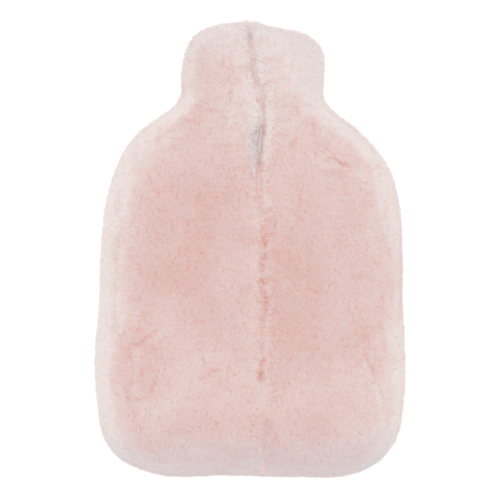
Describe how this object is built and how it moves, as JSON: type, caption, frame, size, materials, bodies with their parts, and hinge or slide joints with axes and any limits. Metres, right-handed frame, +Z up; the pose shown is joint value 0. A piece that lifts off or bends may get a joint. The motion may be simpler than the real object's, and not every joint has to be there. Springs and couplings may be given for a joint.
{
  "type": "hot water bottle cover",
  "caption": "Soft sheepskin cover that holds a hot water bottle, wool outside, with a zip down the back and a neck that hides the stopper.",
  "frame": {"origin": "middle of the bounding box at its base, on the surface that the cover lies on", "axes": "+Y along the cover towards its neck, +Z up through its thickness, zip side up, +X to the right seen from above"},
  "size_m": [0.2595, 0.3803, 0.0692],
  "materials": {
    "pink_wool": "dense short sheepskin wool, pale pink, whiter at the tips, matt",
    "zip_tape": "woven grey tape, matt",
    "zip_metal": "pale grey, satin"
  },
  "bodies": {
    "root": {"front_skin": "pink_wool", "back_left_skin": "pink_wool", "back_right_skin": "pink_wool", "zip_tape": "zip_tape", "zip_slider": "zip_metal", "zip_pull": "zip_metal"}
  },
  "joints": []
}
